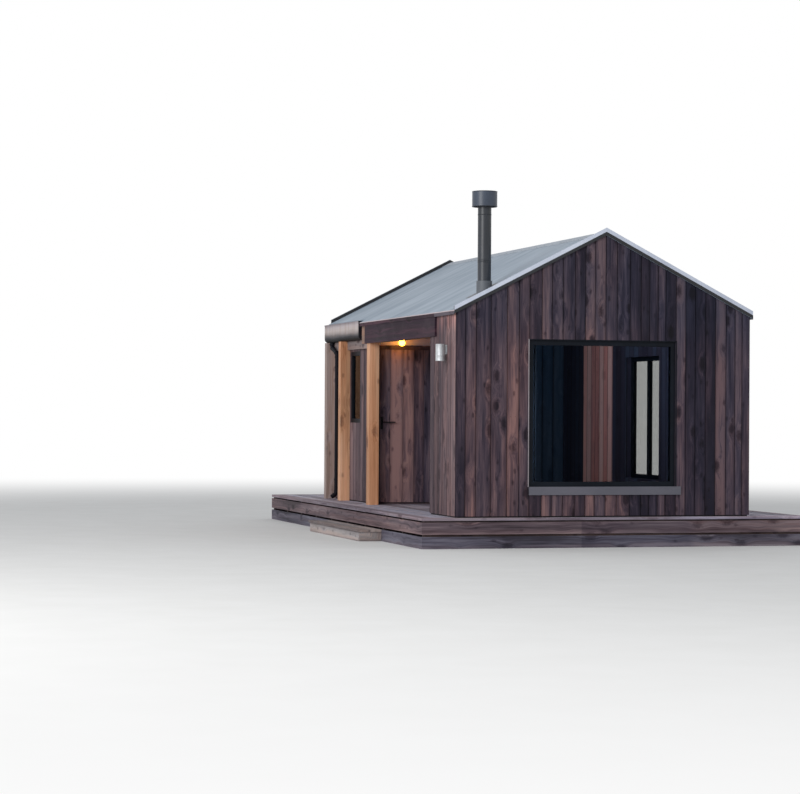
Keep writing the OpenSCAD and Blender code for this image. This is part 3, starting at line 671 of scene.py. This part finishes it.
far_low, far_high = 2.44, 3.62
bm = solids()
clad(bm, joints(board_t, far_low, far_high, hut_l - board_t), 1, hut_w, 1, lambda y: gable_top(hut_w),
     holes=[(far_low, far_high, 0.35, 1.93)])
piece("right_boards", bm, front_finish, "outside_boards", "right_cladding")

porch_x = porch_high.x
porch_y = porch_low.y + board_t
porch_back = porch_high.y
door_wall_y = porch_back - board_t
side_win = (door_wall_y + 0.82, door_wall_y + 1.34)
bm = solids()
clad(bm, joints(board_t, 0.19, 0.345, porch_y, width=0.17, spread=0.05), 1, 0, -1,
     lambda y: gable_top(0), tones=[0.76, 0.52, 0.4, 0.28, 0.2, 0.3])
clad(bm, joints(porch_back, frame_high.y, *side_win, hut_l - board_t, width=0.15), 1, set_back, -1,
     lambda y: roof_at(set_back) - 0.154,
     holes=[(porch_back, frame_high.y, foot, frame_high.z), (*side_win, 1.05, 2.0)])
piece("porch_side_boards", bm, side_finish, "outside_boards", "left_cladding")

bm = solids()
clad(bm, joints(board_t, porch_x, width=0.14), 0, porch_y, 1, porch_top)
clad(bm, joints(porch_y, door_wall_y, width=0.14), 1, porch_x - board_t, -1, porch_top)
clad(bm, joints(frame_high.x, porch_x), 0, door_wall_y, -1, porch_top, tones=[0.1])
clad(bm, joints(set_back, frame_high.x, width=0.15), 0, door_wall_y, -1, porch_top, low=frame_high.z)
piece("porch_boards", bm, sheltered_finish, "outside_boards", "porch_cladding")

# Black felt in the gap under the boards; its near-black also stands in for painted shade in that gap.
felt_and_gap_shade = speckled("black sole felt", 160, (12, 11, 12), (26, 24, 25), 0.3, 0.9, 0.05)
near, deep = 0.012, 0.0205
bm = solids()
for x0, y0, x1, y1 in (
        (0.02, near, hut_w - 0.02, deep),
        (0.15, hut_l - deep, hut_w - 0.02, hut_l - near),
        (hut_w - deep, 0.03, hut_w - near, hut_l - 0.03),
        (near, 0.03, deep, porch_y - 0.03),
        (set_back + near, porch_back, set_back + deep, hut_l - 0.03),
        (porch_x - deep, porch_y, porch_x - near, porch_back - 0.03),
        (0.03, porch_y - deep, porch_x - 0.03, porch_y - near)):
    plank(bm, (x0, y0, 0), (x1, y1, foot + 0.002), 0 if x1 - x0 > y1 - y0 else 1, 0.001)
piece("sole_felt", bm, felt_and_gap_shade, "outside_boards")


# Nails in the outside boards: two to a board at each rail, their heads rusted dark.
rust = speckled("rusted nail heads", 120, (44, 30, 26), (84, 60, 48), 0.3, 0.6, 0.2, Metallic=0.4)
nail = (0.0036, 0.0016)
rows = (0.2, 0.32, 1.15, 2.0)
spots = [(x, 0, z) for x in (0.05, 0.15, 0.28, 0.37, 0.46, 0.56, 0.65, 0.71, 0.79, 0.84) for z in rows]
spots += [(x, 0, z) for x in (0.95 + 0.13 * i for i in range(13)) for z in (0.16, 0.24, 2.16, 2.5)
          if z < roof_at(x) - 0.1]
spots += [(2.72 + 0.125 * i, 0, z) for i in range(7) for z in rows]
heads("front_nails", spots, "y", *nail, rust, "outside_boards")
spots = [(0, y, z) for y in (0.1, 0.27, 0.42, 0.6, 0.78, 0.95) for z in rows]
spots += [(set_back, y, z) for y in (4.2, 4.35, 4.5, 4.64, 5.36, 5.5, 5.66, 5.8, 5.95, 6.1) for z in rows]
heads("side_nails", spots, "x", *nail, rust, "outside_boards")
spots = [(hut_w, y, z) for y in (0.1 + 0.13 * i for i in range(47)) for z in rows
         if not far_low - 0.05 < y < far_high + 0.05]
heads("right_nails", spots, "x", *nail, rust, "outside_boards")
spots = [(0.2 + 0.13 * i, hut_l, z) for i in range(26) for z in rows]
heads("back_nails", spots, "y", *nail, rust, "outside_boards")


# Roof: boards on rafters inside, a smooth grey sheet welded over the battens outside, a folded
# ridge cap, and at each verge a black kerb faced with a pale folded strip.
dress(timber("roof lining boards", [(140, 110, 92), (170, 136, 116), (192, 158, 138)], (30, 0.8, 30),
             ((1, 0, 0), 0.12), rough=0.6, greyed=0.1), "roof_frame_left", "roof_frame_right")


def sheet(name, tones, run, rough, metallic=0.0, scale=1.0, **sockets):
    """Coated or plain metal sheet: a little mottled, with faint streaks along the run of the rain."""
    made, place = new_finish(name)
    cloud = place.noise(1.1 * scale, 3.0, 0.5)
    streak = place.scaled(run).noise(1.0, 4.0, 0.6)
    speck = place.noise(70 * scale, 1.0)
    mixed = cloud * 0.4 + streak * 0.45 + speck * 0.15
    colour = mixed.between(0.3, 0.7).blend(paint(*tones[0]), paint(*tones[1]))
    coat(place, cloud + speck * 0.1, 0.12, 0.004, Base_Color=colour, Metallic=metallic,
         Roughness=rough + (speck - 0.5) * 0.14, **sockets)
    return made


dress(sheet("blue-grey roof sheet", ((112, 127, 142), (152, 164, 177)), (0.9, 5, 0.9), 0.6),
      "roof_cover_left", "roof_cover_right")
dress(sheet("ridge sheet", ((128, 137, 148), (154, 163, 174)), (4, 1, 4), 0.55), "ridge_cap")
dress(sheet("pale verge strip", ((176, 182, 198), (206, 212, 226)), (3, 3, 3), 0.42), "verge_strips")
dress(sheet("black folded sheet", ((10, 12, 17), (24, 27, 34)), (2, 9, 2), 0.5),
      "verge_trims", "verge_kerbs")

eave_x = hut_box("roof_cover_left")[0].x
far_eave_x = hut_w - eave_x
eave_z = roof_at(eave_x)
beam_low, beam_high = hut_box("porch_beam")
strip_t = 0.003
batten_x, batten_foot, batten_top = eave_x - 0.004, eave_z - 0.05, eave_z - 0.009
fascia_y = beam_low.y - 0.26
drip_finish = sheet("pale drip strip", ((176, 160, 162), (198, 184, 186)), (3, 3, 3), 0.5)
bm = solids()
plank(bm, (eave_x - strip_t, -0.018, batten_top), (eave_x, beam_high.y, eave_z + 0.001), 1, 0.001)
plank(bm, (far_eave_x, -0.018, batten_top), (far_eave_x + strip_t, hut_l + 0.018, eave_z + 0.001), 1, 0.001)
piece("drip_strips", bm, drip_finish, "roof_sheet")

batten_finish = timber("eaves batten timber", [(66, 58, 60), (94, 84, 84), (118, 106, 104)],
                       (26, 0.8, 26), "one")
bm = solids()
plank(bm, (batten_x, -0.016, batten_foot), (eave_x, fascia_y - 0.002, batten_top), 1, 0.002, 0.6)
plank(bm, (far_eave_x, -0.016, batten_foot), (hut_w - batten_x, hut_l + 0.016, batten_top), 1, 0.002, 0.4)
piece("eaves_battens", bm, batten_finish, "outside_boards")

fascia_finish = timber("dark fascia", [(26, 13, 21), (46, 29, 38), (74, 50, 57)], (1, 0.8, 26), "one",
                       knots=0.6, greyed=0.1, figured=1.8, edges=0.0)
bm = solids()
plank(bm, (batten_x, fascia_y, batten_foot), (eave_x, beam_high.y, batten_top), 1, 0.002, 0.5)
piece("porch_batten", bm, fascia_finish, "outside_boards")
cap_half = 0.09
heads("ridge_screws",
      [(hut_w / 2 + side * cap_half, 0.1 + 0.3 * i, roof_at(hut_w / 2 + cap_half) + 0.0056)
       for side in (-1, 1) for i in range(21)], "z", 0.006, 0.003, steel, "ridge_sheet")


# Porch: square planed posts with a beam on them, a dark board on the beam's face, a boarded
# ceiling, and a pale board across the head of the door wall.
post_w = 0.13
corner_y = hut_box("porch_posts")[1].y - post_w + origin.y
dress(timber("oiled post timber", [(150, 98, 62), (196, 144, 100), (220, 172, 128), (236, 202, 164)],
             (30, 30, 0.6), "one", figured=1.0, knots=0.6, greyed=0.1, grey=(170, 140, 120), rough=0.6,
             relief=0.2, edges=0.0, fades=[(1, corner_y - 0.3, corner_y - 0.1, (0.60, 0.80, 1.2))]),
      "porch_posts")
dress(timber("beam timber", [(106, 80, 62), (142, 112, 90), (166, 138, 116)], (24, 0.8, 24), "one",
             greyed=0.15), "porch_beam")
dress(fascia_finish, "porch_fascia")
dress(timber("pale head board", [(166, 146, 142), (190, 172, 168), (206, 190, 186)], (1.1, 40, 40), "one",
             greyed=0.1, figured=1.2, knots=0.3), "door_frieze")
ceiling_low, ceiling_high = hut_box("porch_ceiling")
ceiling_count = 12
ceiling_pitch = (ceiling_high.x - ceiling_low.x) / ceiling_count
ceiling_finish = timber("ceiling boards", [(104, 84, 76), (136, 114, 104), (160, 140, 130)],
                        (40, 1.0, 40), figured=1.4)
bm = solids()
plank(bm, (ceiling_low.x + 0.001, ceiling_low.y, ceiling_low.z),
      (ceiling_low.x + ceiling_pitch - 0.001, ceiling_high.y, ceiling_high.z), 1, 0.003)
board_row("ceiling_boards", bm, ceiling_count, (ceiling_pitch, 0, 0), 5, ceiling_finish,
          "ceiling_boards", "porch_ceiling")


# Eaves behind the porch: a board that carries the deep round gutter, a pale rail under it, and a
# black downpipe that swans across to the wall between two brackets.
dress(timber("eaves timber", [(84, 70, 62), (112, 96, 86), (134, 118, 108)], (1, 0.9, 36), "one"),
      "eaves_board")
dress(timber("pale rail timber", [(124, 109, 98), (150, 134, 122), (170, 154, 142)], (36, 1.0, 36), "one",
             greyed=0.2), "eaves_rail")
gutter_low, gutter_high = hut_box("eaves_gutter")
y0, y1, top = gutter_low.y, gutter_high.y, gutter_high.z
gutter_finish, place = new_finish("weathered gutter sheet with painted shading")
cloud = place.scaled((4, 2.2, 9)).noise(1.0, 4.0, 0.6)
speck = place.noise(60, 1.0)
runs = place.scaled((2, 14, 1.2)).noise(1.0, 4.0, 0.62)
# Painted shading by height: near-black under the belly as shade and dark-ground reflection, a painted
# highlight near the top, and a painted shadow band at the top edge.
rise = (place.axis(2) - (gutter_low.z + origin.z)) / (top - gutter_low.z) + (cloud - 0.5) * 0.22
skin = rise.ramp([(where, paint(*tone)) for where, tone in (
    (0.0, (10, 10, 14)), (0.12, (16, 16, 20)), (0.20, (38, 37, 44)), (0.28, (82, 80, 83)),
    (0.36, (120, 113, 113)), (0.46, (164, 154, 152)), (0.60, (190, 179, 176)), (0.80, (188, 178, 180)),
    (1.0, (150, 142, 148)))])
# Painted shadow: the first few centimetres at the near end of the gutter turn near-black.
end_shadow = place.axis(1).between(y0 + origin.y + 0.002, y0 + origin.y + 0.03)
skin = (1 - end_shadow).blend(skin, paint(24, 22, 28))
skin = (speck.between(0.55, 0.75) * 0.3).blend(skin, skin.scaled((0.72, 0.72, 0.7)))
skin = (runs.between(0.46, 0.66) * 0.4).blend(skin, skin.scaled((0.74, 0.60, 0.48)))
coat(place, cloud + speck * 0.1, 0.12, 0.003, Base_Color=skin, Roughness=0.6 + (speck - 0.5) * 0.2,
     Specular_IOR_Level=0.15)
dress(gutter_finish, "eaves_gutter")
dress(sheet("black pipe coating", ((10, 9, 14), (24, 22, 30)), (12, 12, 1), 0.6, Specular_IOR_Level=0.12),
      "downpipe")
bm = solids()
for y in (y0 + 0.003, (y0 + y1) / 2, y1 - 0.03):
    plank(bm, (gutter_low.x, y, top - 0.034), (gutter_high.x, y + 0.025, top - 0.031), 0, 0.001)
plank(bm, (gutter_low.x - 0.005, y0, top - 0.014), (gutter_low.x, y1, top - 0.001), 1, 0.0035)
piece("gutter_straps", bm, gutter_finish, "gutter_sheet")


# Windows: slim dark metal frames with sealed glass, a folded blue-grey sill, and a thin bead of the
# same metal round the picture window, pale on its left side as a painted highlight.
window_metal = sheet("dark window metal", ((11, 15, 22), (20, 26, 35)), (8, 8, 8), 0.5,
                     Specular_IOR_Level=0.12)
dress(window_metal, "window_frames")
dress(sheet("blue-grey sill sheet", ((78, 78, 88), (94, 93, 103)), (2, 2, 9), 0.45), "window_sill")
# Painted highlight: the left bead is pale where light catches that side; the other beads are the dark frame
# metal.
highlit_bead_metal = sheet("window bead with painted highlight", ((122, 114, 118), (150, 142, 146)), (8, 8, 8), 0.5)
bead_y, back_y, bead = -0.004, 0.006, 0.012
bm = solids()
plank(bm, (win_left - bead, bead_y, sill_high.z), (win_left, back_y, win_top + bead), 2, 0.002)
piece("window_bead_highlit", bm, highlit_bead_metal, "window_metal")
bm = solids()
plank(bm, (win_right, bead_y, sill_high.z), (win_right + bead, back_y, win_top + bead), 2, 0.002)
plank(bm, (win_left, bead_y, win_top), (win_right, back_y, win_top + bead), 0, 0.002)
piece("window_beads_dark", bm, window_metal, "window_metal")

pane_finish, place = new_finish("sealed glass, clear in front and tinted behind")
smear = place.noise(3.0)
polish = smear * 0.02
clear = place.node("ShaderNodeBsdfPrincipled", {}, {
    "Base Color": smear.blend((0.90, 0.95, 0.99, 1), (0.93, 0.97, 1.0, 1)), "Roughness": polish,
    "IOR": 1.01, "Transmission Weight": 1.0})
grey_tint = smear.blend((0.34, 0.33, 0.31, 1), (0.39, 0.38, 0.36, 1))
far_side = place.axis(0).between(origin.x + 1.0, origin.x + 2.0)
tinted = place.node("ShaderNodeBsdfPrincipled", {}, {
    "Base Color": far_side.blend((0.12, 0.14, 0.18, 1), grey_tint), "Roughness": polish,
    "IOR": 1.3, "Transmission Weight": 1.0})
behind = place.axis(1).between(origin.y + 0.5, origin.y + 1.0)
pane = place.node("ShaderNodeMixShader", {}, {0: behind, 1: clear, 2: tinted})
place.node("ShaderNodeOutputMaterial", {}, {"Surface": pane})
dress(pane_finish, "window_glass")


# Door: six upright planks on a dark frame, hung on three face hinges, with a lever latch on a tall
# plate.
dress(timber("door frame timber", [(48, 38, 40), (72, 58, 60), (92, 76, 76)], (34, 34, 1.0), "one"),
      "door_frame")
leaf_low, leaf_high = hut_box("door_leaf")
plank_back = leaf_low.y + 0.024
marks = [leaf_low.x, 0.321, 0.489, 0.638, 0.773, 0.89, leaf_high.x]
bm = solids()
for a, b, tone in zip(marks, marks[1:], (0.74, 0.86, 0.72, 0.28, 0.36, 0.46)):
    plank(bm, (a + 0.001, leaf_low.y, leaf_low.z), (b - 0.001, plank_back, leaf_high.z), 2, 0.004, tone)
plank(bm, (leaf_low.x, plank_back, leaf_low.z), (leaf_high.x, leaf_high.y, leaf_high.z), 2, 0.002, 0.5)
door_finish = timber("door planks", [(46, 41, 50), (78, 67, 74), (112, 94, 94), (144, 121, 115)], upright,
                     knots=0.8, greyed=0.1, figured=1.7, spread=0.85, hues=0.5)
piece("door_planks", bm, door_finish, "door_boards", "door_leaf", body="door")
dress(sheet("black door metal", ((20, 20, 23), (36, 36, 40)), (14, 14, 14), 0.4, 0.5),
      "door_latch", "frame_hinges", "leaf_hinges")


# Flue: a black enamelled pipe through a lead-grey plate and collar, with rolled rings at its joints
# and round the rim of the drum cowl.
flue_finish = sheet("black enamel", ((26, 30, 37), (46, 51, 60)), (10, 10, 1.2), 0.4)
dress(flue_finish, "flue_pipe")
dress(sheet("cowl enamel", ((42, 50, 64), (64, 74, 90)), (10, 10, 2), 0.42), "flue_cowl")
dress(sheet("lead-grey flashing", ((72, 76, 82), (98, 102, 108)), (3, 3, 3), 0.55), "flue_flashing")


def turned(bm, outline, x, y, sides=40):
    """A round solid through (radius, height) points from one end to the other."""
    turns = [2 * math.pi * i / sides for i in range(sides)]
    loft(bm, [[(x + r * math.cos(a), y + r * math.sin(a), z) for a in turns] for r, z in outline], 0.5)


def ring(bm, x, y, z, radius, bulge):
    """A rolled ring round an upright axis."""
    sides, steps = 40, 8
    made = []
    for a in (2 * math.pi * i / sides for i in range(sides)):
        made.append([])
        for t in (2 * math.pi * k / steps for k in range(steps)):
            reach = radius + bulge * math.cos(t)
            spot = (x + reach * math.cos(a), y + reach * math.sin(a), z + bulge * math.sin(t))
            made[-1].append(bm.verts.new(spot))
    for i in range(sides):
        for k in range(steps):
            j, m = (i + 1) % sides, (k + 1) % steps
            bm.faces.new((made[i][k], made[j][k], made[j][m], made[i][m]))


pipe_low, pipe_high = hut_box("flue_pipe")
cowl_low, cowl_high = hut_box("flue_cowl")
flue_x, flue_y = (pipe_low.x + pipe_high.x) / 2, (pipe_low.y + pipe_high.y) / 2
pipe_r, cowl_r = (pipe_high.x - pipe_low.x) / 2, (cowl_high.x - cowl_low.x) / 2
bm = solids()
for z in (roof_at(flue_x) + 0.33, roof_at(flue_x) + 0.35, cowl_low.z - 0.09):
    ring(bm, flue_x, flue_y, z, pipe_r, 0.004)
for z in (cowl_low.z + 0.005, cowl_high.z - 0.005):
    ring(bm, flue_x, flue_y, z, cowl_r - 0.002, 0.005)
piece("flue_rings", bm, flue_finish, "flue_metal", smooth=True)


# Lamps: a galvanised tube lamp open below on the side boards, and a warm round bulb in a black
# holder under the porch ceiling.
tube_low, tube_high = hut_box("wall_lamp")
bead_r, tube_r, mouth_r = 0.056, 0.0555, 0.052
tube_x, tube_y = tube_low.x + bead_r, (tube_low.y + tube_high.y) / 2
z0, z1 = tube_low.z, tube_high.z
inside_z = z0 + 0.065
outline = [(0.0, inside_z), (mouth_r, inside_z), (0.053, z0), (tube_r, z0),
           (bead_r, z0 + 0.003), (tube_r, z0 + 0.006), (tube_r, z0 + 0.06),
           (bead_r, z0 + 0.063), (tube_r, z0 + 0.066), (tube_r, z1 - 0.014),
           (bead_r, z1 - 0.011), (bead_r, z1 - 0.006), (mouth_r, z1 - 0.001), (0.0, z1)]
plate_x, arm_z = -0.004, (z0 + z1) / 2
bm = solids()
turned(bm, outline, tube_x, tube_y)
plank(bm, (tube_x + 0.05, tube_y - 0.02, arm_z), (plate_x, tube_y + 0.02, z1 - 0.03), 0, 0.003, 0.4)
plank(bm, (plate_x, tube_y - 0.035, arm_z - 0.02), (0, tube_y + 0.035, z1 - 0.01), 0, 0.0015, 0.4)
lamp_finish = sheet("galvanised steel", ((158, 160, 163), (200, 204, 207)), (30, 30, 6), 0.42, 0.35, scale=12)
piece("tube_lamp", bm, lamp_finish, "wall_lamp_metal", "wall_lamp", smooth=True)
dress(sheet("black lamp holder", ((18, 18, 20), (34, 34, 36)), (20, 20, 20), 0.5), "porch_lamp")

bulb_low, bulb_high = hut_box("porch_bulb")
bulb_x, bulb_y = (bulb_low.x + bulb_high.x) / 2, (bulb_low.y + bulb_high.y) / 2
bulb_r = (bulb_high.x - bulb_low.x) / 2
outline = [(bulb_r * math.sin(a), bulb_low.z + bulb_r - bulb_r * math.cos(a))
           for a in (0.1 * math.pi * i for i in range(8))]
outline += [(0.019, bulb_high.z - 0.006), (0.0165, bulb_high.z)]
bm = solids()
turned(bm, outline, bulb_x, bulb_y, 28)
bulb_finish, place = new_finish("warm bulb glass")
cloud = place.noise(20)
coat(place, cloud, 0.02, 0.001, Base_Color=paint(255, 214, 150), Roughness=0.2 + cloud * 0.05,
     Emission_Color=cloud.blend((1.0, 0.38, 0.018, 1), (1.0, 0.46, 0.030, 1)), Emission_Strength=26.0)
piece("bulb", bm, bulb_finish, "bulb_glass", "porch_bulb", smooth=True)
